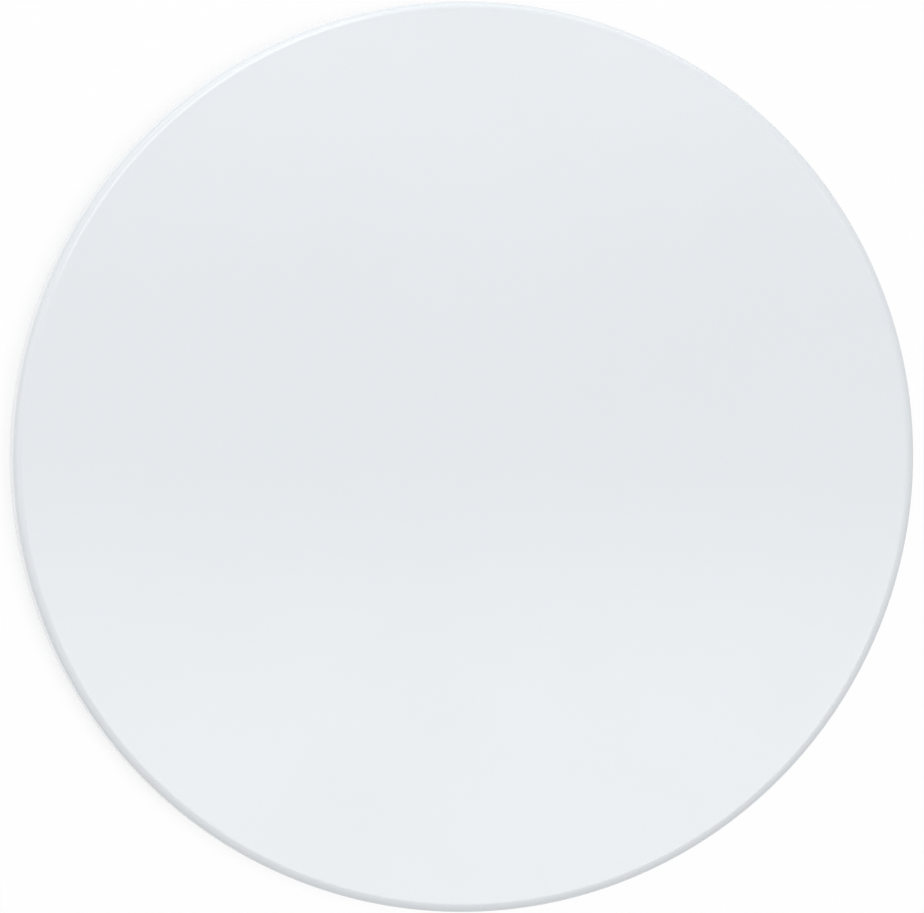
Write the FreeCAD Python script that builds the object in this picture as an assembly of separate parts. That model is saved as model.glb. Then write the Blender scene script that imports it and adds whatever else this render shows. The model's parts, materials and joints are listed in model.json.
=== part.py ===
import FreeCAD, Part
import math
import os

from FreeCAD import Vector

# Lazy susan turntable: a round lacquered board that turns on a flat ball bearing over a smaller round base.
# The bearing is two square stamped steel plates with a ring of caged balls between them, held together by a
# hollow rivet. Millimetres, +Z up. The origin is the middle of the plane that the rubber feet stand on.

# Turntable board
BOARD_DIAMETER = 400.0
BOARD_THICKNESS = 18.0
BOARD_TOP_ROUNDING = 4.0
BOARD_UNDER_ROUNDING = 2.5

# Base board
BASE_DIAMETER = 260.0
BASE_THICKNESS = 12.0
BASE_ROUNDING = 3.0
ACCESS_HOLE_DIAMETER = 16.0  # a screwdriver reaches the board screws through it
ACCESS_ANGLE = 22.5  # halfway between a foot and a corner of the lower plate

# Race plates
PLATE_SIDE = 152.0
PLATE_THICKNESS = 1.2
PLATE_CORNER_ROUNDING = 12.0
PLATE_HOLE_INSET = 9.0  # from the plate's sides to each screw hole
TRACK_RADIUS = 55.0  # from the axis to the balls' centres
GROOVE_WRAP = 50.0  # degrees of the groove's arc on each side of its lowest line
GROOVE_LIP_BEND = 1.2  # bends are measured on the sheet's middle line
PLATFORM_LAND = 3.0  # flat sheet on each side of the groove's lips
STEP_BEND = 1.4
STEP_FLAT = 2.0  # flat sheet outside the step, where the square flange takes over
SQUARE_CORNER_ANGLE = 45.0  # of the plate's first corner, as it is stamped
LOWER_CORNER_ANGLE = 45.0  # of the lower plate's first screw, as it is fitted

# Balls and cage
BALL_DIAMETER = 6.0
BALL_COUNT = 24
BALL_CLEARANCE = 0.1  # between a ball and each groove
POCKET_CLEARANCE = 0.2  # between a ball and its pocket
CAGE_WEB = 2.0  # between a pocket and the cage's edge
CAGE_CLEARANCE = 0.45  # between the cage and each plate
CAGE_ROUNDING = 0.4

# Hollow rivet and its washer
EYELET_RADIUS = 15.0  # outside of the tube
EYELET_SHEET = 0.8
EYELET_BEND = 0.8  # on the sheet's middle line
EYELET_FLANGE_WIDTH = 5.0  # beyond the outside of the tube
EYELET_FIT = 0.05  # around the tube's bend in the lower plate
HUB_CLEARANCE = 0.3  # around the tube's bend in the upper plate and the washer
SLIP_WASHER_THICKNESS = 0.5
SLIP_CLEARANCE = 0.1  # between the washer and the rivet's flange

# Screws
THREAD_DIAMETER = 4.0
CORE_DIAMETER = 2.8
THREAD_PITCH = 1.6
THREAD_WIDTH = 1.28  # of one ring at its foot
PLAIN_SHANK = 1.6  # above the first thread
TIP_LENGTH = 2.4
HEAD_DIAMETER = 8.0
HEAD_HEIGHT = 2.6
HEAD_ROUNDING = 1.9
RECESS_WIDTH = 1.0  # of each arm of the cross
RECESS_RADIUS = 2.2  # reach of the cross at the top of the head
RECESS_DEPTH = 1.7
RECESS_TIP_RADIUS = 0.7
TIP_COVER = 3.2  # wood left beyond each screw's tip
SCREW_HOLE_CLEARANCE = 0.1  # around the thread in wood
TIP_CLEARANCE = 0.6  # hole left beyond the tip
PLATE_HOLE_CLEARANCE = 0.4  # around the thread in steel and rubber

# Feet
FOOT_COUNT = 4
FOOT_HEIGHT = 7.0
FOOT_DIAMETER = 24.0  # where it meets the base
FOOT_TIP_DIAMETER = 20.0  # where it meets the table
FOOT_ROUNDING = 1.2
FOOT_INSET = 22.0  # from the base's edge to a foot's axis
FOOT_MOUTH_ROUNDING = 0.5
HEAD_RECESS = 1.2  # from the table up to the screw's head
FOOT_WASHER_DIAMETER = 12.5
FOOT_WASHER_THICKNESS = 1.0
FOOT_WASHER_CLEARANCE = 0.2  # around the washer in the foot

# Heights, from the table up
bearing_height = BALL_DIAMETER + 2 * (BALL_CLEARANCE + PLATE_THICKNESS)
base_bottom = FOOT_HEIGHT
base_top = base_bottom + BASE_THICKNESS
ball_level = base_top + bearing_height / 2
board_bottom = base_top + bearing_height

# The stamped groove and the raised platform beside it, on the sheet's middle line
groove_bend = BALL_DIAMETER / 2 + BALL_CLEARANCE + PLATE_THICKNESS / 2
wrap = math.radians(GROOVE_WRAP)
lip_offset = (groove_bend + GROOVE_LIP_BEND) * math.sin(wrap)
platform_below_ball = (groove_bend + GROOVE_LIP_BEND) * math.cos(wrap) - GROOVE_LIP_BEND
flange_below_ball = (bearing_height - PLATE_THICKNESS) / 2
platform_rise = flange_below_ball - platform_below_ball
platform_gap = 2 * platform_below_ball - PLATE_THICKNESS

# The holes that the hollow rivet passes through, both clear of the bend at the foot of its flange
eyelet_inner_bend = EYELET_BEND - EYELET_SHEET / 2
gripped_hub_radius = EYELET_RADIUS + eyelet_inner_bend + EYELET_FIT
free_hub_radius = EYELET_RADIUS + eyelet_inner_bend + HUB_CLEARANCE

# Where screws and feet stand
corner_circle = (PLATE_SIDE / 2 - PLATE_HOLE_INSET) * math.sqrt(2)
foot_circle = BASE_DIAMETER / 2 - FOOT_INSET
foot_floor = FOOT_HEIGHT - HEAD_RECESS - HEAD_HEIGHT - FOOT_WASHER_THICKNESS
board_screw_length = PLATE_THICKNESS + BOARD_THICKNESS - TIP_COVER
base_screw_length = PLATE_THICKNESS + BASE_THICKNESS - TIP_COVER
foot_screw_length = FOOT_WASHER_THICKNESS + foot_floor + BASE_THICKNESS - TIP_COVER
thread_hole_radius = THREAD_DIAMETER / 2 + SCREW_HOLE_CLEARANCE
clear_hole_radius = THREAD_DIAMETER / 2 + PLATE_HOLE_CLEARANCE

ORIGIN = Vector(0, 0, 0)
UP = Vector(0, 0, 1)
ALONG_X = Vector(1, 0, 0)
CUT_MARGIN = 1.0  # how far a cutting tool runs past the face it enters
SAME_POINT = 1e-6


def corner_arc(before, corner, after, rounding):
    """Start, middle and end of the arc that rounds off one corner."""
    back = (before - corner).normalize()
    ahead = (after - corner).normalize()
    half_angle = back.getAngle(ahead) / 2
    reach = rounding / math.tan(half_angle)
    centre = corner + (back + ahead).normalize() * (rounding / math.sin(half_angle))
    middle = centre + (corner - centre).normalize() * rounding
    return corner + back * reach, middle, corner + ahead * reach


def section(corners):
    """Flat face in the XZ plane. Each corner is (distance from the axis, height, rounding)."""
    points = [Vector(x, 0, z) for x, z, rounding in corners]
    joints = []
    for i, (_, _, rounding) in enumerate(corners):
        if rounding:
            joints.append(corner_arc(points[i - 1], points[i], points[(i + 1) % len(points)], rounding))
        else:
            joints.append((points[i], None, points[i]))
    edges = []
    for i, (start, middle, end) in enumerate(joints):
        if middle:
            edges.append(Part.Arc(start, middle, end).toShape())
        next_start = joints[(i + 1) % len(joints)][0]
        if end.distanceToPoint(next_start) > SAME_POINT:
            edges.append(Part.makeLine(end, next_start))
    return Part.Face(Part.Wire(edges))


def turned(corners):
    """Solid of revolution about the Z axis."""
    return section(corners).revolve(ORIGIN, UP, 360)


def sheet_corners(path, thickness):
    """Corners of a bent sheet's section. The path is its middle line: (distance, height, bend radius)."""
    points = [Vector(x, 0, z) for x, z, bend in path]
    steps = [(b - a).normalize() for a, b in zip(points, points[1:])]
    before = steps[:1] + steps
    after = steps + steps[-1:]
    left, right = [], []
    for point, first, second, (_, _, bend) in zip(points, before, after, path):
        left_of_first = Vector(-first.z, 0, first.x)
        left_of_second = Vector(-second.z, 0, second.x)
        spread = 1 + left_of_first.dot(left_of_second)
        shift = (left_of_first + left_of_second) * (thickness / 2 / spread)
        turns_left = 1 if left_of_first.dot(second) > 0 else -1
        change = turns_left * thickness / 2 if bend else 0
        left.append((point.x + shift.x, point.z + shift.z, bend - change))
        right.append((point.x - shift.x, point.z - shift.z, bend + change))
    return left + right[::-1]


def ring(inner_radius, outer_radius, thickness):
    """Flat ring standing on the XY plane."""
    outside = Part.makeCylinder(outer_radius, thickness)
    inside = Part.makeCylinder(inner_radius, thickness + 2 * CUT_MARGIN, Vector(0, 0, -CUT_MARGIN))
    return outside.cut(inside)


def placed(shape, radius, angle, height):
    """Copy of a shape, moved out from the axis, turned around it and lifted."""
    copy = shape.copy()
    copy.translate(Vector(radius, 0, height))
    copy.rotate(ORIGIN, UP, angle)
    return copy


def quarter_turns(first_angle):
    """Four angles, a quarter turn apart."""
    return [first_angle + 90 * i for i in range(4)]


def foot_angles():
    return [360 * i / FOOT_COUNT for i in range(FOOT_COUNT)]


def round_board(diameter, thickness, bottom, under_rounding, top_rounding):
    """Turned disc with its two edges rounded over."""
    return turned([
        (0, bottom, 0),
        (diameter / 2, bottom, under_rounding),
        (diameter / 2, bottom + thickness, top_rounding),
        (0, bottom + thickness, 0),
    ])


def screw_bores(depth, circle, angles, entry, into):
    """Blind holes that the threads have cut: into is 1 for holes that run up from entry, and -1 for down."""
    bore = Part.makeCylinder(thread_hole_radius, depth, ORIGIN, Vector(0, 0, into))
    return [placed(bore, circle, angle, entry) for angle in angles]


def make_turntable_board():
    """Lacquered board, with blind holes below for the screws of the upper plate."""
    board = round_board(
        BOARD_DIAMETER, BOARD_THICKNESS, board_bottom, BOARD_UNDER_ROUNDING, BOARD_TOP_ROUNDING
    )
    depth = board_screw_length - PLATE_THICKNESS + TIP_CLEARANCE
    return board.cut(screw_bores(depth, corner_circle, quarter_turns(ACCESS_ANGLE), board_bottom, 1))


def make_base_board():
    """Base with blind holes above for the lower plate's screws, blind holes below for the feet's, and the
    hole through which the board screws are driven."""
    board = round_board(BASE_DIAMETER, BASE_THICKNESS, base_bottom, BASE_ROUNDING, BASE_ROUNDING)
    depth = BASE_THICKNESS - TIP_COVER + TIP_CLEARANCE
    access = Part.makeCylinder(
        ACCESS_HOLE_DIAMETER / 2, BASE_THICKNESS + 2 * CUT_MARGIN, Vector(0, 0, -CUT_MARGIN)
    )
    cuts = screw_bores(depth, corner_circle, quarter_turns(LOWER_CORNER_ANGLE), base_top, -1)
    cuts += screw_bores(depth, foot_circle, foot_angles(), base_bottom, 1)
    cuts.append(placed(access, corner_circle, ACCESS_ANGLE, base_bottom))
    return board.cut(cuts)


def make_race_plate(hub_radius):
    """Stamped plate with its flange down on the XY plane: a square flange, a step up to a round platform,
    and the groove for the balls pressed back down into the platform."""
    flange = PLATE_THICKNESS / 2
    platform = flange + platform_rise
    groove_bottom = flange + flange_below_ball - groove_bend / math.cos(wrap)
    groove_width = (platform - groove_bottom) / math.tan(wrap)
    step_inside = TRACK_RADIUS + lip_offset + PLATFORM_LAND
    step_outside = step_inside + platform_rise
    flange_start = step_outside + STEP_FLAT
    centre = turned(sheet_corners([
        (hub_radius, platform, 0),
        (TRACK_RADIUS - groove_width, platform, GROOVE_LIP_BEND),
        (TRACK_RADIUS, groove_bottom, groove_bend),
        (TRACK_RADIUS + groove_width, platform, GROOVE_LIP_BEND),
        (step_inside, platform, STEP_BEND),
        (step_outside, flange, STEP_BEND),
        (flange_start, flange, 0),
    ], PLATE_THICKNESS))
    square = Part.makeBox(
        PLATE_SIDE, PLATE_SIDE, PLATE_THICKNESS, Vector(-PLATE_SIDE / 2, -PLATE_SIDE / 2, 0)
    )
    upright = [edge for edge in square.Edges if edge.BoundBox.ZLength > SAME_POINT]
    square = square.makeFillet(PLATE_CORNER_ROUNDING, upright)
    tool_height = PLATE_THICKNESS + 2 * CUT_MARGIN
    cuts = [Part.makeCylinder(flange_start, tool_height, Vector(0, 0, -CUT_MARGIN))]
    hole = Part.makeCylinder(clear_hole_radius, tool_height, Vector(0, 0, -CUT_MARGIN))
    cuts += [placed(hole, corner_circle, angle, 0) for angle in quarter_turns(SQUARE_CORNER_ANGLE)]
    return centre.fuse(square.cut(cuts)).removeSplitter()


def make_lower_race_plate():
    """Flange down on the base, gripped at its centre by the hollow rivet."""
    plate = make_race_plate(gripped_hub_radius)
    return placed(plate, 0, LOWER_CORNER_ANGLE - SQUARE_CORNER_ANGLE, base_top)


def make_upper_race_plate():
    """The same stamping turned over, flange up against the board, free to turn around the hollow rivet.
    One corner is over the access hole."""
    plate = make_race_plate(free_hub_radius)
    plate.rotate(ORIGIN, ALONG_X, 180)
    return placed(plate, 0, ACCESS_ANGLE - SQUARE_CORNER_ANGLE, board_bottom)


def make_centre_eyelet():
    """Hollow rivet: a tube through both plates with a flange rolled out at each end."""
    half_sheet = EYELET_SHEET / 2
    middle_radius = EYELET_RADIUS - half_sheet
    flange_radius = EYELET_RADIUS + EYELET_FLANGE_WIDTH
    lower = base_top + platform_rise - half_sheet
    upper = board_bottom - platform_rise + SLIP_WASHER_THICKNESS + SLIP_CLEARANCE + half_sheet
    return turned(sheet_corners([
        (flange_radius, lower, 0),
        (middle_radius, lower, EYELET_BEND),
        (middle_radius, upper, EYELET_BEND),
        (flange_radius, upper, 0),
    ], EYELET_SHEET))


def make_slip_washer():
    """Thin plastic ring on the upper plate's platform, under the hollow rivet's flange."""
    washer = ring(free_hub_radius, EYELET_RADIUS + EYELET_FLANGE_WIDTH, SLIP_WASHER_THICKNESS)
    return placed(washer, 0, 0, board_bottom - platform_rise)


def ball_angles():
    return [360 * i / BALL_COUNT for i in range(BALL_COUNT)]


def make_bearing_balls():
    ball = Part.makeSphere(BALL_DIAMETER / 2)
    return Part.makeCompound([placed(ball, TRACK_RADIUS, angle, ball_level) for angle in ball_angles()])


def make_ball_cage():
    """Flat ring at the balls' middle height, with a round pocket for each ball."""
    thickness = platform_gap - 2 * CAGE_CLEARANCE
    pocket_radius = BALL_DIAMETER / 2 + POCKET_CLEARANCE
    half_width = pocket_radius + CAGE_WEB
    bottom = ball_level - thickness / 2
    cage = turned([
        (TRACK_RADIUS - half_width, bottom, CAGE_ROUNDING),
        (TRACK_RADIUS + half_width, bottom, CAGE_ROUNDING),
        (TRACK_RADIUS + half_width, bottom + thickness, CAGE_ROUNDING),
        (TRACK_RADIUS - half_width, bottom + thickness, CAGE_ROUNDING),
    ])
    pocket = Part.makeCylinder(pocket_radius, thickness + 2 * CUT_MARGIN, Vector(0, 0, -CUT_MARGIN))
    return cage.cut([placed(pocket, TRACK_RADIUS, angle, bottom) for angle in ball_angles()])


def cross_recess():
    """Tool for the cross in a screw's head: two bars that narrow towards the bottom of the recess."""
    cone = Part.makeCone(
        RECESS_TIP_RADIUS, RECESS_RADIUS, RECESS_DEPTH, Vector(0, 0, HEAD_HEIGHT - RECESS_DEPTH)
    )
    corner = Vector(-RECESS_RADIUS, -RECESS_WIDTH / 2, 0)
    bar = Part.makeBox(2 * RECESS_RADIUS, RECESS_WIDTH, HEAD_HEIGHT, corner)
    crossing = bar.copy()
    crossing.rotate(ORIGIN, UP, 90)
    return cone.common(bar.fuse(crossing))


def make_screw(length):
    """Pan-head wood screw, pointing down, its head standing on the XY plane. The thread is drawn as rings."""
    core = CORE_DIAMETER / 2
    crest = THREAD_DIAMETER / 2
    turns = int((length - PLAIN_SHANK - TIP_LENGTH) / THREAD_PITCH)
    profile = [
        (0, HEAD_HEIGHT, 0),
        (HEAD_DIAMETER / 2, HEAD_HEIGHT, HEAD_ROUNDING),
        (HEAD_DIAMETER / 2, 0, 0),
        (core, 0, 0),
    ]
    for i in range(turns):
        start = -PLAIN_SHANK - i * THREAD_PITCH
        profile += [
            (core, start, 0),
            (crest, start - THREAD_WIDTH / 2, 0),
            (core, start - THREAD_WIDTH, 0),
        ]
    profile += [(core, TIP_LENGTH - length, 0), (0, -length, 0)]
    return turned(profile).cut(cross_recess())


def make_board_screws():
    """Heads down, below the upper plate's corners."""
    screw = make_screw(board_screw_length)
    screw.rotate(ORIGIN, ALONG_X, 180)
    seat = board_bottom - PLATE_THICKNESS
    return [placed(screw, corner_circle, angle, seat) for angle in quarter_turns(ACCESS_ANGLE)]


def make_base_screws():
    """Heads up, on the lower plate's corners."""
    screw = make_screw(base_screw_length)
    seat = base_top + PLATE_THICKNESS
    return [placed(screw, corner_circle, angle, seat) for angle in quarter_turns(LOWER_CORNER_ANGLE)]


def make_rubber_foot():
    """Tapered foot on the XY plane, hollow below for the washer and the screw's head."""
    mouth_radius = FOOT_WASHER_DIAMETER / 2 + FOOT_WASHER_CLEARANCE
    ceiling = FOOT_HEIGHT - foot_floor
    return turned([
        (mouth_radius, 0, FOOT_MOUTH_ROUNDING),
        (FOOT_TIP_DIAMETER / 2, 0, FOOT_ROUNDING),
        (FOOT_DIAMETER / 2, FOOT_HEIGHT, 0),
        (clear_hole_radius, FOOT_HEIGHT, 0),
        (clear_hole_radius, ceiling, 0),
        (mouth_radius, ceiling, 0),
    ])


def make_foot_washer():
    return ring(clear_hole_radius, FOOT_WASHER_DIAMETER / 2, FOOT_WASHER_THICKNESS)


def make_foot_screw():
    """Head down, under the foot's washer."""
    screw = make_screw(foot_screw_length)
    screw.rotate(ORIGIN, ALONG_X, 180)
    return screw


def numbered(name, shapes):
    return {f"{name}_{i}": shape for i, shape in enumerate(shapes, start=1)}


def at_feet(shape, height):
    return [placed(shape, foot_circle, angle, height) for angle in foot_angles()]


def build():
    """Every piece, by the name of its node."""
    washer_bottom = HEAD_RECESS + HEAD_HEIGHT
    pieces = {
        "turntable_board": make_turntable_board(),
        "upper_race_plate": make_upper_race_plate(),
        "slip_washer": make_slip_washer(),
        "centre_eyelet": make_centre_eyelet(),
        "bearing_balls": make_bearing_balls(),
        "ball_cage": make_ball_cage(),
        "lower_race_plate": make_lower_race_plate(),
        "base_board": make_base_board(),
    }
    pieces.update(numbered("board_screw", make_board_screws()))
    pieces.update(numbered("base_screw", make_base_screws()))
    pieces.update(numbered("rubber_foot", at_feet(make_rubber_foot(), 0)))
    pieces.update(numbered("foot_washer", at_feet(make_foot_washer(), washer_bottom)))
    pieces.update(numbered("foot_screw", at_feet(make_foot_screw(), washer_bottom)))
    return pieces


os.makedirs("parts", exist_ok=True)
for node, shape in build().items():
    shape.exportStep(f"parts/{node}.step")
    box = shape.optimalBoundingBox(False)
    print(f"{node}: {len(shape.Solids)} solid(s), valid {shape.isValid()}, {shape.Volume:.1f} mm3, "
          f"z {box.ZMin:.2f} to {box.ZMax:.2f}")
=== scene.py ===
# %% [markdown]
# # A white lazy susan
# A lazy susan is a round serving board that turns on a flat ball bearing over a smaller base. This one is
# fibreboard sprayed with white lacquer. The engineering model already holds every piece at its real size,
# so this lesson adds what it leaves out: smooth edges, real surfaces, and a small studio lit from the back
# left.

# %% Load the engineering model
import json
import math

import bmesh
import bpy
from mathutils import Matrix, Quaternion, Vector


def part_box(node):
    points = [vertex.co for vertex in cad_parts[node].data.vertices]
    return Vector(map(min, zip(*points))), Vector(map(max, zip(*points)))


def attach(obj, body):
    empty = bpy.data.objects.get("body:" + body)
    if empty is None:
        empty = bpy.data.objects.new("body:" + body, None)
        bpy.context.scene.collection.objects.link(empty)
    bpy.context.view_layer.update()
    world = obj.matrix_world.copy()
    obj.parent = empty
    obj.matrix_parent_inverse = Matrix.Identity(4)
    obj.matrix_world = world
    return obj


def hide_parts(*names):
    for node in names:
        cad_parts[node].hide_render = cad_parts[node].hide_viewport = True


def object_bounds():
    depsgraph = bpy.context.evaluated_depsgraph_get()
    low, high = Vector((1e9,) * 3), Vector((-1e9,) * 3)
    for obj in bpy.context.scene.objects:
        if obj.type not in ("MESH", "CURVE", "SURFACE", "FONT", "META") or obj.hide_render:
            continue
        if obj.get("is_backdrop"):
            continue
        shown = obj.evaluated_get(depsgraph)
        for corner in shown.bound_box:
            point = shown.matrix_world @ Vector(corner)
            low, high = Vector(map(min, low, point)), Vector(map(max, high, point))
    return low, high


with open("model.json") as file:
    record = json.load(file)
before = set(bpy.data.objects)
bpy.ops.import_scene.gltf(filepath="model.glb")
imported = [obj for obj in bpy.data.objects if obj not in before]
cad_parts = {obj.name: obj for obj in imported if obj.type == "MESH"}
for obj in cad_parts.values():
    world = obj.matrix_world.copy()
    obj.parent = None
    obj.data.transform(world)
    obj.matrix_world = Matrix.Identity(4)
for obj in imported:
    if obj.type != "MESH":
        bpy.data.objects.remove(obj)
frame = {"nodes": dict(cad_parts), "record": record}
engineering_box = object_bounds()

for body, members in frame["record"]["behaviour"]["bodies"].items():
    print(f"body {body}: {', '.join(members)}")

# %% [markdown]
# ## Sizes
# Places and sizes come from the boxes of the loaded pieces, in metres, so the looks can't drift away from
# the engineering model. Only roundings and the sizes of drilled holes aren't in a box. They are written in
# millimetres, as on a workshop drawing, and one factor turns them into metres.

# %% Measure the two boards
MM = 0.001

board_low, board_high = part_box("turntable_board")
base_low, base_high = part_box("base_board")
board_radius = board_high.x
base_radius = base_high.x
BOARD_TOP_ROUNDING = 4.0 * MM
BOARD_UNDER_ROUNDING = 2.5 * MM
BASE_ROUNDING = 3.0 * MM
CORNERS = range(1, 5)  # numbers in the names of the screws and feet
print(f"board: {2 * board_radius / MM:.0f} mm across, {(board_high.z - board_low.z) / MM:.0f} mm thick")
print(f"base: {2 * base_radius / MM:.0f} mm across, {(base_high.z - base_low.z) / MM:.0f} mm thick")

# %% [markdown]
# ## Helpers for materials
# Paint makers give colours as sRGB hex, while the renderer works in linear light. One function does that
# sum. Another adds a node: it takes the node's kind, its input values or the outputs that feed them, and
# its settings. With it, a whole material reads from top to bottom like a recipe.

# %% Colour and node helpers
def linear(hex_colour):
    """sRGB hex, such as "#e8ecef", to linear red, green, blue and alpha."""
    channels = [int(hex_colour[i:i + 2], 16) / 255 for i in (1, 3, 5)]
    return [c / 12.92 if c <= 0.04045 else ((c + 0.055) / 1.055) ** 2.4 for c in channels] + [1.0]


def node(tree, kind, inputs=None, **settings):
    """Adds a shader node. Each input is a value, or the output of another node."""
    made = tree.nodes.new("ShaderNode" + kind)
    for name, value in settings.items():
        setattr(made, name, value)
    for name, value in (inputs or {}).items():
        if isinstance(value, bpy.types.NodeSocket):
            tree.links.new(value, made.inputs[name])
        else:
            made.inputs[name].default_value = value
    return made


def new_material(name):
    """An empty material, its node tree, and the place of each point in metres."""
    material = bpy.data.materials.new(name)
    material.use_nodes = True
    tree = material.node_tree
    tree.nodes.clear()
    return material, tree, node(tree, "TexCoord").outputs["Object"]


def per_size(millimetres):
    """Scale of a noise whose marks are about this big."""
    return 1 / (millimetres * MM)


# A Mix node has several sockets of each name, so its colour sockets are given by place.
MIX_A, MIX_B, MIX_RESULT = 6, 7, 2
print("mid grey #808080 in linear light:", round(linear("#808080")[0], 3))

# %% [markdown]
# ## Edges
# Hands, cloths and other parts rub a thing on its edges first. There a coating is polished, and a plating
# is worn brighter. An Ambient Occlusion node that looks inside a solid finds such edges: it sends short
# rays inward, and where they soon meet another face, an edge is near. The rays are as long as the worn band
# is wide, so each finish gives its own width. The mesh's own Pointiness would be quicker, but it smears
# over large flat faces.

# %% Mask for worn edges
EDGE_RAYS = 4


def rubbed_edges(tree, millimetres):
    """0 on flat faces, rising to 1 at outer edges, over a band this wide."""
    feeler = node(tree, "AmbientOcclusion", {"Distance": millimetres * MM},
                  inside=True, only_local=True, samples=EDGE_RAYS)
    mask = node(tree, "MapRange", {"Value": feeler.outputs["AO"], "From Min": 0.95, "From Max": 0.5})
    return mask.outputs["Result"]


print(f"edge mask: {EDGE_RAYS} inward rays for each sample")

# %% [markdown]
# ## White lacquer
# The boards are MDF, a dense fibreboard, primed, sanded and sprayed with white polyurethane lacquer.
# Sprayed lacquer dries with a faint orange peel: shallow waves about two millimetres long that bend
# reflections but not the shape. Some patches come out a touch glossier than others, no sprayed white is
# quite even, and hands polish the edge. An index of refraction of 1.5 is usual for lacquer, and its
# roughness is that of a satin finish.

# %% Make the lacquer
LACQUER_CLOUD = 85.0  # mm across an uneven patch
LACQUER_PEEL = 2.4  # mm from wave to wave
LACQUER_PEEL_DEPTH = 0.014  # mm
LACQUER_POLISHED_BAND = 6.0  # mm

lacquer, tree, place = new_material("satin_white_polyurethane_lacquer")
cloud = node(tree, "TexNoise", {"Vector": place, "Scale": per_size(LACQUER_CLOUD), "Detail": 3.0})
peel = node(tree, "TexNoise", {"Vector": place, "Scale": per_size(LACQUER_PEEL), "Detail": 1.0})
sprayed = node(tree, "Mix", {
    "Factor": cloud.outputs["Fac"], MIX_A: linear("#e5eaee"), MIX_B: linear("#eaeef2"),
}, data_type="RGBA")
satin = node(tree, "MapRange", {"Value": cloud.outputs["Fac"], "To Min": 0.17, "To Max": 0.13})
gloss = node(tree, "MapRange", {
    "Value": rubbed_edges(tree, LACQUER_POLISHED_BAND), "To Min": satin.outputs["Result"], "To Max": 0.11,
})
waves = node(tree, "Bump", {"Height": peel.outputs["Fac"], "Distance": LACQUER_PEEL_DEPTH * MM})
shader = node(tree, "BsdfPrincipled", {
    "Base Color": sprayed.outputs[MIX_RESULT], "Roughness": gloss.outputs["Result"], "IOR": 1.5,
    "Normal": waves.outputs["Normal"],
})
node(tree, "OutputMaterial", {"Surface": shader.outputs["BSDF"]})
print(f"{lacquer.name}: {len(tree.nodes)} nodes")

# %% [markdown]
# ## Bare fibreboard
# Where a hole is drilled after spraying, the wood fibre shows: a soft matt tan with lighter and darker
# flecks of pressed fibre, paler at the torn rim. Real flecks are a tenth of a millimetre wide. Here they
# are drawn at 0.7 mm so that they show.

# %% Make the bare fibreboard
FIBRE_FLECK = 0.7  # mm
FIBRE_FUZZ = 0.15  # mm high
FIBRE_TORN_RIM = 1.0  # mm

fibreboard, tree, place = new_material("bare_fibreboard")
fleck = node(tree, "TexNoise", {"Vector": place, "Scale": per_size(FIBRE_FLECK), "Detail": 6.0})
fibre = node(tree, "Mix", {
    "Factor": fleck.outputs["Fac"], MIX_A: linear("#86643f"), MIX_B: linear("#b8956b"),
}, data_type="RGBA")
torn = node(tree, "Mix", {
    "Factor": rubbed_edges(tree, FIBRE_TORN_RIM),
    MIX_A: fibre.outputs[MIX_RESULT], MIX_B: linear("#cdb594"),
}, data_type="RGBA")
matt = node(tree, "MapRange", {"Value": fleck.outputs["Fac"], "To Min": 0.85, "To Max": 0.98})
fuzz = node(tree, "Bump", {"Height": fleck.outputs["Fac"], "Distance": FIBRE_FUZZ * MM})
shader = node(tree, "BsdfPrincipled", {
    "Base Color": torn.outputs[MIX_RESULT], "Roughness": matt.outputs["Result"], "IOR": 1.45,
    "Normal": fuzz.outputs["Normal"],
})
node(tree, "OutputMaterial", {"Surface": shader.outputs["BSDF"]})
print(f"{fibreboard.name}: {len(tree.nodes)} nodes")

# %% [markdown]
# ## Turning
# A lathe turns a half section round an axis, and a board can be made the same way: draw the outline of its
# edge, with a quarter circle at each rounding, and copy it round the axis. The engineering model draws its
# circles with about ninety flats, enough for measuring but not for a close look. 720 steps make flats under
# two millimetres long, and sixteen steps in each rounding keep the highlight along the rim smooth.

# %% Lathe
TURNING_STEPS = 720
ROUNDING_STEPS = 16


def disc_edge(radius, low, high, under_rounding, top_rounding):
    """Half section of a disc's edge, from its under face to its top face."""
    outline = []
    for rounding, height, start in [
        (under_rounding, low + under_rounding, -90),
        (top_rounding, high - top_rounding, 0),
    ]:
        for k in range(ROUNDING_STEPS + 1):
            turn = math.radians(start + 90 * k / ROUNDING_STEPS)
            reach = radius - rounding + rounding * math.cos(turn)
            outline.append((reach, height + rounding * math.sin(turn)))
    return outline


def turned(name, outline, steps, centre=(0, 0)):
    """Closed solid: the outline copied round an upright axis, with a flat face at each end."""
    shape = bmesh.new()
    rings = []
    for x, z in outline:
        turns = [math.tau * k / steps for k in range(steps)]
        ring = [(centre[0] + x * math.cos(t), centre[1] + x * math.sin(t), z) for t in turns]
        rings.append([shape.verts.new(point) for point in ring])
    for lower, upper in zip(rings, rings[1:]):
        for k in range(steps):
            shape.faces.new((lower[k - 1], lower[k], upper[k], upper[k - 1]))
    shape.faces.new(rings[0][::-1])
    shape.faces.new(rings[-1])
    mesh = bpy.data.meshes.new(name)
    shape.to_mesh(mesh)
    shape.free()
    made = bpy.data.objects.new(name, mesh)
    bpy.context.scene.collection.objects.link(made)
    return made


flat_length = math.tau * board_radius / TURNING_STEPS
print(f"each flat on the board's rim: {flat_length / MM:.2f} mm long")

# %% [markdown]
# ## Drilling
# Holes are cut as a drill cuts them: a Boolean modifier takes turned drill bits away from the board. It
# hands the bit's material to the wall it cuts, so the bare wood under the lacquer shows there. The result
# is smoothed, apart from the sharp rims of the holes, and weighted normals let the big flat faces lead, so
# that a rounding meets them without a line.

# %% Drill
DRILL_STEPS = 72
SHARP_RIM = math.radians(30)


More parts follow.
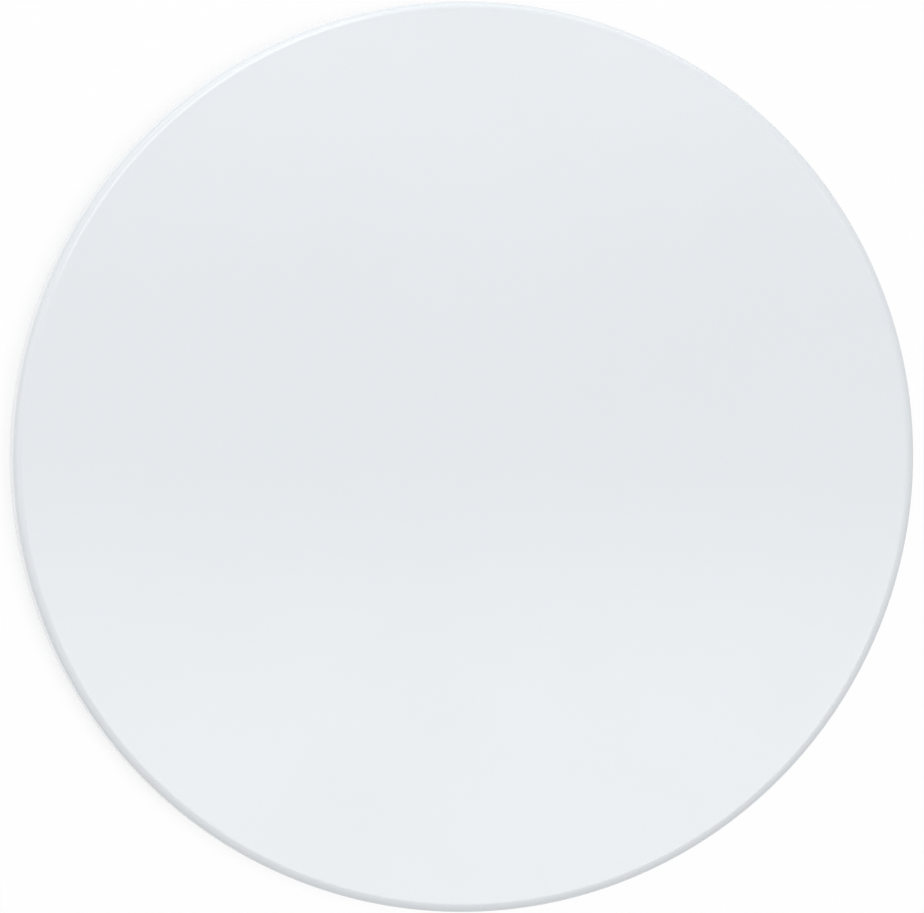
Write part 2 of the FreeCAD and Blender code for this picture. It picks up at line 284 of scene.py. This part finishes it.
def drilled(board, holes, wall):
    """Cuts round holes. Each one is (centre, radius, low end, high end)."""
    bits = [turned("drill_bit", [(radius, low), (radius, high)], DRILL_STEPS, centre)
            for centre, radius, low, high in holes]
    for bit in bits:
        bit.data.materials.append(wall)
    with bpy.context.temp_override(active_object=bits[0], selected_editable_objects=bits):
        bpy.ops.object.join()
    cut = board.modifiers.new("holes", "BOOLEAN")
    cut.object = bits[0]
    cut.solver = "EXACT"
    cut.material_mode = "TRANSFER"
    bpy.context.view_layer.update()
    cut_mesh = bpy.data.meshes.new_from_object(board.evaluated_get(bpy.context.evaluated_depsgraph_get()))
    board.modifiers.clear()
    board.data = cut_mesh
    bpy.data.objects.remove(bits[0])
    board.data.shade_smooth()
    board.data.set_sharp_from_angle(angle=SHARP_RIM)
    board.modifiers.new("flat_faces_lead", "WEIGHTED_NORMAL").keep_sharp = True
    return board


def axis_of(name):
    """Where the upright axis of a piece stands."""
    low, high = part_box(name)
    return (low.x + high.x) / 2, (low.y + high.y) / 2


def open_edges(piece):
    """Number of edges that don't join exactly two faces: 0 in a closed mesh."""
    shape = bmesh.new()
    shape.from_mesh(piece.data)
    count = sum(not edge.is_manifold for edge in shape.edges)
    shape.free()
    return count


for n in CORNERS:
    x, y = axis_of(f"board_screw_{n}")
    print(f"board screw {n} stands at {x / MM:.1f}, {y / MM:.1f} mm")

# %% [markdown]
# ## The turntable board
# This is what the eye meets: a flat disc with a generous rounding on its upper edge, where fingers turn it,
# and a smaller one below. Four blind holes for the bearing's screws are drilled from below. Drills start a
# little outside the board so that a hole's mouth is cut clean.

# %% Make the turntable board
DRILL_START = 1.0 * MM
SCREW_HOLE_RADIUS = 2.1 * MM
BOARD_HOLE_DEPTH = 15.4 * MM

board = turned("lacquered_turntable_board", disc_edge(
    board_radius, board_low.z, board_high.z, BOARD_UNDER_ROUNDING, BOARD_TOP_ROUNDING,
), TURNING_STEPS)
board.data.materials.append(lacquer)
from_below = (board_low.z - DRILL_START, board_low.z + BOARD_HOLE_DEPTH)
screw_holes = [(axis_of(f"board_screw_{n}"), SCREW_HOLE_RADIUS, *from_below) for n in CORNERS]
drilled(board, screw_holes, fibreboard)
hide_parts("turntable_board")
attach(board, "turntable")
print(f"{board.name}: {len(board.data.polygons)} faces, {open_edges(board)} open edges")

# %% [markdown]
# ## The base board
# The base is a smaller and thinner board of the same kind, standing on four feet. It has screw holes from
# above for the bearing and from below for the feet. One large hole goes right through: the maker turns the
# turntable until one of its screws comes over the hole, and reaches it from below with a screwdriver. All
# holes are drilled after spraying, so their walls are bare.

# %% Make the base board
BASE_HOLE_DEPTH = 9.4 * MM
ACCESS_HOLE_RADIUS = 8.0 * MM

base = turned("lacquered_base_board", disc_edge(
    base_radius, base_low.z, base_high.z, BASE_ROUNDING, BASE_ROUNDING,
), TURNING_STEPS)
base.data.materials.append(lacquer)
from_above = (base_high.z - BASE_HOLE_DEPTH, base_high.z + DRILL_START)
from_below = (base_low.z - DRILL_START, base_low.z + BASE_HOLE_DEPTH)
right_through = (base_low.z - DRILL_START, base_high.z + DRILL_START)
bearing_holes = [(axis_of(f"base_screw_{n}"), SCREW_HOLE_RADIUS, *from_above) for n in CORNERS]
foot_holes = [(axis_of(f"foot_screw_{n}"), SCREW_HOLE_RADIUS, *from_below) for n in CORNERS]
access_hole = (axis_of("board_screw_1"), ACCESS_HOLE_RADIUS, *right_through)
drilled(base, bearing_holes + foot_holes + [access_hole], fibreboard)
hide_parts("base_board")
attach(base, "base")
print(f"{base.name}: {len(base.data.polygons)} faces, {open_edges(base)} open edges")

# %% [markdown]
# ## Zinc-plated sheet
# The two race plates are pressed from cold-rolled steel sheet and electroplated with zinc. Rolling leaves
# fine lines that survive plating as a soft directional sheen, and the clear passivate on top drifts between
# a blue and a warm grey. The real lines are finer than a hair. Here they are 0.5 mm apart and 25 mm long,
# coarse enough to show.

# %% Make the zinc-plated sheet
ROLLING_LENGTH, ROLLING_WIDTH = 25.0, 0.5  # mm
ROLLING_DEPTH = 0.012  # mm
PASSIVATE_CLOUD = 18.0  # mm
PLATE_WORN_BAND = 0.5  # mm

zinc_sheet, tree, place = new_material("zinc_plated_rolled_steel")
grain_scale = (per_size(ROLLING_LENGTH), per_size(ROLLING_WIDTH), per_size(ROLLING_WIDTH))
along = node(tree, "VectorMath", {0: place, 1: grain_scale}, operation="MULTIPLY")
grain = node(tree, "TexNoise", {"Vector": along.outputs["Vector"], "Scale": 1.0, "Detail": 3.0})
cloud = node(tree, "TexNoise", {"Vector": place, "Scale": per_size(PASSIVATE_CLOUD), "Detail": 4.0})
passivate = node(tree, "Mix", {
    "Factor": cloud.outputs["Fac"], MIX_A: linear("#a3abb3"), MIX_B: linear("#bbb8b0"),
}, data_type="RGBA")
lines = node(tree, "MapRange", {"Value": grain.outputs["Fac"], "To Max": 0.5})
lined = node(tree, "Mix", {
    "Factor": lines.outputs["Result"], MIX_A: passivate.outputs[MIX_RESULT], MIX_B: linear("#83898f"),
}, data_type="RGBA")
worn = node(tree, "Mix", {
    "Factor": rubbed_edges(tree, PLATE_WORN_BAND),
    MIX_A: lined.outputs[MIX_RESULT], MIX_B: linear("#cfd0d0"),
}, data_type="RGBA")
sheen = node(tree, "MapRange", {"Value": grain.outputs["Fac"], "To Min": 0.26, "To Max": 0.50})
rolled = node(tree, "Bump", {"Height": grain.outputs["Fac"], "Distance": ROLLING_DEPTH * MM})
shader = node(tree, "BsdfPrincipled", {
    "Base Color": worn.outputs[MIX_RESULT], "Metallic": 1.0, "Roughness": sheen.outputs["Result"],
    "Normal": rolled.outputs["Normal"],
})
node(tree, "OutputMaterial", {"Surface": shader.outputs["BSDF"]})
print(f"{zinc_sheet.name}: {len(tree.nodes)} nodes")

# %% [markdown]
# ## The rolled rivet
# The two plates are held together by a short steel tube whose rims are rolled outward by a spinning tool.
# The tool runs round and round, so it leaves rings: fine polished grooves about the axis that catch the
# light in a bow tie. A wave pattern in rings about the upright axis does this. The rings are drawn 0.6 mm
# apart, coarser than real.

# %% Make the rolled steel
SPINNING_PITCH = 0.6  # mm from ring to ring
SPINNING_DEPTH = 0.006  # mm
RIVET_CLOUD = 6.0  # mm
RIVET_WORN_BAND = 0.4  # mm
WAVE_TURN = 20  # radians that the wave texture turns through in one unit at a scale of 1


def rings_per(millimetres):
    """Scale of a wave texture whose rings are this far apart."""
    return math.tau / (WAVE_TURN * millimetres * MM)


rolled_steel, tree, place = new_material("zinc_plated_rolled_over_tube")
rings = node(tree, "TexWave", {
    "Vector": place, "Scale": rings_per(SPINNING_PITCH), "Distortion": 1.5, "Detail": 2.0,
}, wave_type="RINGS", rings_direction="Z")
cloud = node(tree, "TexNoise", {"Vector": place, "Scale": per_size(RIVET_CLOUD), "Detail": 3.0})
plated = node(tree, "Mix", {
    "Factor": cloud.outputs["Fac"], MIX_A: linear("#a6adb5"), MIX_B: linear("#bab7b0"),
}, data_type="RGBA")
polished = node(tree, "Mix", {
    "Factor": rubbed_edges(tree, RIVET_WORN_BAND),
    MIX_A: plated.outputs[MIX_RESULT], MIX_B: linear("#d2d2d1"),
}, data_type="RGBA")
sheen = node(tree, "MapRange", {"Value": rings.outputs["Fac"], "To Min": 0.20, "To Max": 0.34})
grooves = node(tree, "Bump", {"Height": rings.outputs["Fac"], "Distance": SPINNING_DEPTH * MM})
shader = node(tree, "BsdfPrincipled", {
    "Base Color": polished.outputs[MIX_RESULT], "Metallic": 1.0, "Roughness": sheen.outputs["Result"],
    "Normal": grooves.outputs["Normal"],
})
node(tree, "OutputMaterial", {"Surface": shader.outputs["BSDF"]})
print(f"{rolled_steel.name}: {len(tree.nodes)} nodes, ring scale {rings_per(SPINNING_PITCH):.0f}")

# %% [markdown]
# ## Bearing balls
# The balls are chromium steel, ground and lapped until they are mirrors. A mirror ball shows little but its
# surroundings, so the finish is almost all reflection, with a smear of grease here and there that dulls it
# slightly and a few hairline scratches from running. The smears are about 2 mm across.

# %% Make the lapped steel
GREASE_SMEAR = 2.0  # mm
RUNNING_SCRATCH = 0.4  # mm
RUNNING_SCRATCH_DEPTH = 0.001  # mm

ball_steel, tree, place = new_material("lapped_chromium_steel")
smear = node(tree, "TexNoise", {"Vector": place, "Scale": per_size(GREASE_SMEAR), "Detail": 4.0})
scratch = node(tree, "TexNoise", {
    "Vector": place, "Scale": per_size(RUNNING_SCRATCH), "Detail": 2.0, "Distortion": 1.2,
})
steel = node(tree, "Mix", {
    "Factor": smear.outputs["Fac"], MIX_A: linear("#c6c4bf"), MIX_B: linear("#d2d3d5"),
}, data_type="RGBA")
shine = node(tree, "MapRange", {"Value": smear.outputs["Fac"], "To Min": 0.05, "To Max": 0.20})
hairlines = node(tree, "Bump", {"Height": scratch.outputs["Fac"], "Distance": RUNNING_SCRATCH_DEPTH * MM})
shader = node(tree, "BsdfPrincipled", {
    "Base Color": steel.outputs[MIX_RESULT], "Metallic": 1.0, "Roughness": shine.outputs["Result"],
    "Normal": hairlines.outputs["Normal"],
})
node(tree, "OutputMaterial", {"Surface": shader.outputs["BSDF"]})
print(f"{ball_steel.name}: {len(tree.nodes)} nodes")

# %% [markdown]
# ## Nylon cage
# A moulded ring keeps the balls apart. Natural nylon is a milky ivory, a little darker where it has soaked
# up grease, with the very fine matt texture of a spark-eroded mould. The texture is drawn at 0.5 mm so that
# it shows.

# %% Make the nylon
SPARK_TEXTURE = 0.5  # mm
SPARK_DEPTH = 0.04  # mm
GREASE_STAIN = 9.0  # mm
CAGE_RUBBED_BAND = 0.5  # mm

nylon, tree, place = new_material("moulded_natural_nylon")
spark = node(tree, "TexNoise", {"Vector": place, "Scale": per_size(SPARK_TEXTURE), "Detail": 3.0})
stain = node(tree, "TexNoise", {"Vector": place, "Scale": per_size(GREASE_STAIN), "Detail": 2.0})
ivory = node(tree, "Mix", {
    "Factor": stain.outputs["Fac"], MIX_A: linear("#d2c9b2"), MIX_B: linear("#ebe6d9"),
}, data_type="RGBA")
rubbed = node(tree, "Mix", {
    "Factor": rubbed_edges(tree, CAGE_RUBBED_BAND),
    MIX_A: ivory.outputs[MIX_RESULT], MIX_B: linear("#f0ede3"),
}, data_type="RGBA")
satin = node(tree, "MapRange", {"Value": spark.outputs["Fac"], "To Min": 0.38, "To Max": 0.55})
texture = node(tree, "Bump", {"Height": spark.outputs["Fac"], "Distance": SPARK_DEPTH * MM})
shader = node(tree, "BsdfPrincipled", {
    "Base Color": rubbed.outputs[MIX_RESULT], "Roughness": satin.outputs["Result"], "IOR": 1.53,
    "Normal": texture.outputs["Normal"],
})
node(tree, "OutputMaterial", {"Surface": shader.outputs["BSDF"]})
print(f"{nylon.name}: {len(tree.nodes)} nodes")

# %% [markdown]
# ## Acetal washer
# A slippery washer between the rivet's rim and the upper plate is stamped from acetal sheet. Acetal is
# whiter and more waxy than nylon. Turning under the rim scores it with faint rings.

# %% Make the acetal
SCORE_PITCH = 0.8  # mm from ring to ring
SCORE_DEPTH = 0.01  # mm
WASHER_STAIN = 7.0  # mm
WASHER_RUBBED_BAND = 0.3  # mm

acetal, tree, place = new_material("stamped_acetal_sheet")
rings = node(tree, "TexWave", {
    "Vector": place, "Scale": rings_per(SCORE_PITCH), "Distortion": 2.5, "Detail": 2.0,
}, wave_type="RINGS", rings_direction="Z")
stain = node(tree, "TexNoise", {"Vector": place, "Scale": per_size(WASHER_STAIN), "Detail": 3.0})
white = node(tree, "Mix", {
    "Factor": stain.outputs["Fac"], MIX_A: linear("#dedcd3"), MIX_B: linear("#eeede8"),
}, data_type="RGBA")
rubbed = node(tree, "Mix", {
    "Factor": rubbed_edges(tree, WASHER_RUBBED_BAND),
    MIX_A: white.outputs[MIX_RESULT], MIX_B: linear("#f4f3f0"),
}, data_type="RGBA")
waxy = node(tree, "MapRange", {"Value": rings.outputs["Fac"], "To Min": 0.30, "To Max": 0.42})
scores = node(tree, "Bump", {"Height": rings.outputs["Fac"], "Distance": SCORE_DEPTH * MM})
shader = node(tree, "BsdfPrincipled", {
    "Base Color": rubbed.outputs[MIX_RESULT], "Roughness": waxy.outputs["Result"], "IOR": 1.48,
    "Normal": scores.outputs["Normal"],
})
node(tree, "OutputMaterial", {"Surface": shader.outputs["BSDF"]})
print(f"{acetal.name}: {len(tree.nodes)} nodes")

# %% [markdown]
# ## Rubber feet
# The feet are compression-moulded rubber, filled with carbon black and chalk to a dark grey. Rubber hardly
# shines. It shows the mould's grain, a pale bloom that comes out in patches, and scuffs on the rim that
# meets the worktop. Real grain is about 0.1 mm, and here it is drawn at 0.8 mm so that it shows.

# %% Make the rubber
RUBBER_GRAIN = 0.8  # mm
RUBBER_GRAIN_DEPTH = 0.4  # mm
RUBBER_BLOOM = 5.0  # mm
RUBBER_SCUFFED_BAND = 1.0  # mm

rubber, tree, place = new_material("moulded_dark_grey_rubber")
grain = node(tree, "TexNoise", {"Vector": place, "Scale": per_size(RUBBER_GRAIN), "Detail": 4.0})
bloom = node(tree, "TexNoise", {"Vector": place, "Scale": per_size(RUBBER_BLOOM), "Detail": 5.0})
grey = node(tree, "Mix", {
    "Factor": bloom.outputs["Fac"], MIX_A: linear("#262627"), MIX_B: linear("#474748"),
}, data_type="RGBA")
specks = node(tree, "MapRange", {
    "Value": grain.outputs["Fac"], "From Min": 0.4, "From Max": 0.7, "To Max": 0.5,
})
speckled = node(tree, "Mix", {
    "Factor": specks.outputs["Result"], MIX_A: grey.outputs[MIX_RESULT], MIX_B: linear("#5e5e5c"),
}, data_type="RGBA")
scuffed = node(tree, "Mix", {
    "Factor": rubbed_edges(tree, RUBBER_SCUFFED_BAND),
    MIX_A: speckled.outputs[MIX_RESULT], MIX_B: linear("#6b6a67"),
}, data_type="RGBA")
matt = node(tree, "MapRange", {"Value": bloom.outputs["Fac"], "To Min": 0.62, "To Max": 0.85})
skin = node(tree, "Bump", {"Height": grain.outputs["Fac"], "Distance": RUBBER_GRAIN_DEPTH * MM})
shader = node(tree, "BsdfPrincipled", {
    "Base Color": scuffed.outputs[MIX_RESULT], "Roughness": matt.outputs["Result"], "IOR": 1.52,
    "Normal": skin.outputs["Normal"],
})
node(tree, "OutputMaterial", {"Surface": shader.outputs["BSDF"]})
print(f"{rubber.name}: {len(tree.nodes)} nodes")

# %% [markdown]
# ## Screws and washers
# The screws are cold-headed wire with rolled threads, barrel-plated in bright zinc. The feet's washers are
# stamped, and plated in the same barrel. Tumbling there leaves tiny dents all over rather than lines, and
# the plating is bluer and brighter than on the sheet. A cell pattern at 0.7 mm stands for the dents.

# %% Make the bright zinc
BARREL_DENT = 0.7  # mm
BARREL_DENT_DEPTH = 0.02  # mm
SCREW_CLOUD = 4.0  # mm
SCREW_WORN_BAND = 0.3  # mm

bright_zinc, tree, place = new_material("barrel_plated_bright_zinc")
dents = node(tree, "TexVoronoi", {"Vector": place, "Scale": per_size(BARREL_DENT)})
cloud = node(tree, "TexNoise", {"Vector": place, "Scale": per_size(SCREW_CLOUD), "Detail": 3.0})
plated = node(tree, "Mix", {
    "Factor": cloud.outputs["Fac"], MIX_A: linear("#a9b2bd"), MIX_B: linear("#c2c2be"),
}, data_type="RGBA")
worn = node(tree, "Mix", {
    "Factor": rubbed_edges(tree, SCREW_WORN_BAND),
    MIX_A: plated.outputs[MIX_RESULT], MIX_B: linear("#d8d9d8"),
}, data_type="RGBA")
bright = node(tree, "MapRange", {"Value": cloud.outputs["Fac"], "To Min": 0.18, "To Max": 0.32})
tumbled = node(tree, "Bump", {"Height": dents.outputs["Distance"], "Distance": BARREL_DENT_DEPTH * MM})
shader = node(tree, "BsdfPrincipled", {
    "Base Color": worn.outputs[MIX_RESULT], "Metallic": 1.0, "Roughness": bright.outputs["Result"],
    "Normal": tumbled.outputs["Normal"],
})
node(tree, "OutputMaterial", {"Surface": shader.outputs["BSDF"]})
print(f"{bright_zinc.name}: {len(tree.nodes)} nodes")

# %% [markdown]
# ## Dress the engineering pieces
# Pieces that keep the shape of the engineering model only need their finish. Their meshes are left alone,
# and weighted normals keep the large faces flat in the light. The table says which finish goes on which
# kind of piece, by the first words of its name.

# %% Dress the engineering pieces
FINISHES = {
    "upper_race_plate": zinc_sheet,
    "lower_race_plate": zinc_sheet,
    "centre_eyelet": rolled_steel,
    "bearing_balls": ball_steel,
    "ball_cage": nylon,
    "slip_washer": acetal,
    "rubber_foot": rubber,
    "foot_washer": bright_zinc,
    "foot_screw": bright_zinc,
    "board_screw": bright_zinc,
    "base_screw": bright_zinc,
}

for name, piece in frame["nodes"].items():
    for start, finish in FINISHES.items():
        if name.startswith(start):
            piece.data.materials.clear()
            piece.data.materials.append(finish)
            piece.modifiers.new("flat_faces_lead", "WEIGHTED_NORMAL").keep_sharp = True
            print(f"{name}: {finish.name}")

# %% [markdown]
# ## The floor
# The board stands on a seamless white sweep. To the camera and to shiny things it has to look white from
# every side, so away from the board it mostly glows at a strength of 1, which is white. Under the board it
# is mostly lit paper, and keeps the shadow. Seen from below it isn't there, so that the feet can be looked
# at, and it lets the light of the lamp below it through.

# %% Make the floor
FLOOR_RADIUS = 40.0
FLOOR_STEPS = 96
SHADOW_REACH = (0.185, 0.205)  # metres from the middle, between which lit paper gives way to glow
GLOW_NEAR, GLOW_FAR = 0.35, 0.97  # share of glow before and after
PAPER_FIBRE = 3.0  # mm

sweep, tree, place = new_material("white_paper_sweep")
fibre = node(tree, "TexNoise", {"Vector": place, "Scale": per_size(PAPER_FIBRE), "Detail": 4.0})
paper = node(tree, "Mix", {
    "Factor": fibre.outputs["Fac"], MIX_A: linear("#e9e9e9"), MIX_B: linear("#f0f0f0"),
}, data_type="RGBA")
matt = node(tree, "BsdfDiffuse", {"Color": paper.outputs[MIX_RESULT]})
glow = node(tree, "Emission", {"Strength": 1.0})
away = node(tree, "VectorMath", {0: place}, operation="LENGTH")
share = node(tree, "MapRange", {
    "Value": away.outputs["Value"], "From Min": SHADOW_REACH[0], "From Max": SHADOW_REACH[1],
    "To Min": GLOW_NEAR, "To Max": GLOW_FAR,
}, interpolation_type="SMOOTHSTEP")
bright = node(tree, "MixShader", {0: share.outputs["Result"], 1: matt.outputs[0], 2: glow.outputs[0]})
ray = node(tree, "LightPath")
mirrored = node(tree, "Math", {0: ray.outputs["Is Glossy Ray"], 1: ray.outputs["Is Transmission Ray"]},
                operation="MAXIMUM")
seen = node(tree, "Math", {0: ray.outputs["Is Camera Ray"], 1: mirrored.outputs[0]}, operation="MAXIMUM")
paper_or_bright = node(tree, "MixShader", {0: seen.outputs[0], 1: matt.outputs[0], 2: bright.outputs[0]})
side = node(tree, "NewGeometry")
gone = node(tree, "Math", {0: side.outputs["Backfacing"], 1: ray.outputs["Is Shadow Ray"]},
            operation="MAXIMUM")
clear = node(tree, "BsdfTransparent")
floor_shader = node(tree, "MixShader", {
    0: gone.outputs[0], 1: paper_or_bright.outputs[0], 2: clear.outputs[0],
})
node(tree, "OutputMaterial", {"Surface": floor_shader.outputs[0]})

floor_shape = bmesh.new()
bmesh.ops.create_circle(floor_shape, cap_ends=True, radius=FLOOR_RADIUS, segments=FLOOR_STEPS)
floor_mesh = bpy.data.meshes.new("paper_sweep")
floor_shape.to_mesh(floor_mesh)
floor_shape.free()
floor = bpy.data.objects.new("paper_sweep", floor_mesh)
bpy.context.scene.collection.objects.link(floor)
floor.data.materials.append(sweep)
floor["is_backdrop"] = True
print(f"{sweep.name}: {len(tree.nodes)} nodes, facing up: {floor.data.polygons[0].normal.z > 0}")

# %% [markdown]
# ## Light
# The board stands in a pale room with windows on its far side. A wide low window brightens the far rounding
# of the edge, and a slanted roof window draws a bright line along it. A weak one stands on the left. There
# is little light from the front and the right, so the edge is darkest there. The ceiling panels at the back
# and the front leave a gap between them, which the flat top mirrors as a soft darker band. A lamp below
# stands for the light that a pale worktop throws back up under the board. A grid over it keeps its light
# from spreading sideways onto the rim.
#
# A window's place is given by the direction it stands in, and a panel's power by how bright its face is,
# where 1 is white. Blender asks for watts: a panel of area A that is L bright gives pi A L of them, and a
# grid makes it brighter ahead instead of weaker. The camera can't see the panels, so it may pass behind
# them in another view.

# %% Make the lamps
CEILING_HEIGHT = 2.0
WINDOW_DISTANCE = 3.0
LAMP_DEPTH = 1.5


def window_place(azimuth, elevation):
    """Centre of a window, in degrees round from +X and above the floor."""
    turn, rise = math.radians(azimuth), math.radians(elevation)
    level = WINDOW_DISTANCE * math.cos(rise)
    return level * math.cos(turn), level * math.sin(turn), WINDOW_DISTANCE * math.sin(rise)


def panel(name, place, faces, size, brightness, roll=0, spread=180):
    """Soft panel at a place, facing a point. Roll turns it in its own plane, spread is how wide it shines."""
    lamp = bpy.data.lights.new(name, "AREA")
    lamp.shape = "RECTANGLE"
    lamp.size, lamp.size_y = size
    lamp.energy = math.pi * size[0] * size[1] * brightness
    lamp.spread = math.radians(spread)
    made = bpy.data.objects.new(name, lamp)
    made.location = place
    facing = (Vector(place) - Vector(faces)).to_track_quat("Z", "Y")
    made.rotation_euler = (facing @ Quaternion((0, 0, 1), math.radians(roll))).to_euler()
    made.visible_camera = False
    bpy.context.scene.collection.objects.link(made)
    print(f"{name}: {lamp.energy:.1f} W")
    return made


middle = (0, 0, 0)
# Each panel has its name, its place, the point it faces, its width and height in metres, and its brightness.
panel("low_back_window", window_place(90, 12), middle, (5.0, 0.9), 1.45)
panel("slanted_roof_window", window_place(112, 50), middle, (0.9, 2.8), 3.2, roll=-34)
panel("left_window", window_place(178, 30), middle, (1.5, 1.5), 0.4)
panel("back_ceiling_panel", (0.3, 0.28, CEILING_HEIGHT), (0.3, 0.28, 0), (1.6, 0.34), 1.2)
panel("front_ceiling_panel", (0.3, -0.41, CEILING_HEIGHT), (0.3, -0.41, 0), (1.6, 0.58), 2.2)
panel("front_left_ceiling_panel", (-0.1, -0.245, CEILING_HEIGHT), (-0.1, -0.245, 0), (0.8, 0.25), 0.5)
panel("lamp_below", (0, 0, -LAMP_DEPTH), middle, (3.0, 3.0), 0.5, spread=60)

# %% [markdown]
# ## Room
# Beyond the windows the room is a plain pale grey. The camera, mirrors and anything see-through look at
# white, so that the background is white from every side.

# %% Make the room
WALL_BRIGHTNESS = 0.52
world = bpy.data.worlds.new("pale_room")
world.use_nodes = True
room = world.node_tree
room.nodes.clear()
ray = node(room, "LightPath")
mirrored = node(room, "Math", {0: ray.outputs["Is Glossy Ray"], 1: ray.outputs["Is Transmission Ray"]},
                operation="MAXIMUM")
seen = node(room, "Math", {0: ray.outputs["Is Camera Ray"], 1: mirrored.outputs[0]}, operation="MAXIMUM")
brightness = node(room, "MapRange", {"Value": seen.outputs[0], "To Min": WALL_BRIGHTNESS, "To Max": 1.0})
background = node(room, "Background", {"Color": linear("#ffffff"), "Strength": brightness.outputs["Result"]})
node(room, "OutputWorld", {"Surface": background.outputs["Background"]})
bpy.context.scene.world = world
print("room walls at", WALL_BRIGHTNESS)

# %% [markdown]
# ## Camera
# The board is seen from almost straight above, from a little to its left, through a long lens that hardly
# shows perspective. Its matrix is built from its axes: the camera looks along its own -Z, and world Y stays
# up in the picture.

# %% Make the camera
VIEW_FROM = 170.0  # degrees round from +X
VIEW_TILT = 9.0  # degrees from straight down
VIEW_DISTANCE = 6.0
LENS = 531.5  # mm
AIM_HEIGHT = 32.0 * MM
SIGHT = 200.0  # metres, beyond the floor's far edge

turn, tilt = math.radians(VIEW_FROM), math.radians(VIEW_TILT)
backward = Vector((math.sin(tilt) * math.cos(turn), math.sin(tilt) * math.sin(turn), math.cos(tilt)))
right = Vector((0, 1, 0)).cross(backward).normalized()
up = backward.cross(right)
aim = Vector((0, 0, AIM_HEIGHT))
camera = bpy.data.objects.new("camera", bpy.data.cameras.new("camera"))
camera.data.lens = LENS
camera.data.clip_end = SIGHT
camera.matrix_world = Matrix.Translation(aim + backward * VIEW_DISTANCE) @ Matrix(
    (right, up, backward)).transposed().to_4x4()
bpy.context.scene.collection.objects.link(camera)
bpy.context.scene.camera = camera
bpy.context.scene.view_settings.view_transform = "Standard"
print("camera at", [round(c, 3) for c in camera.location])

# %% [markdown]
# ## Both boxes
# The looks must not change the size. Both boxes are printed.

# %% Print both boxes
def plain(value):
    """Boxes as plain lists of numbers."""
    return [plain(v) for v in value] if hasattr(value, "__len__") else float(value)


looks_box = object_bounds()
{"cad": plain(engineering_box), "visual": plain(looks_box)}
print("engineering box:", plain(engineering_box))
print("looks box:", plain(looks_box))
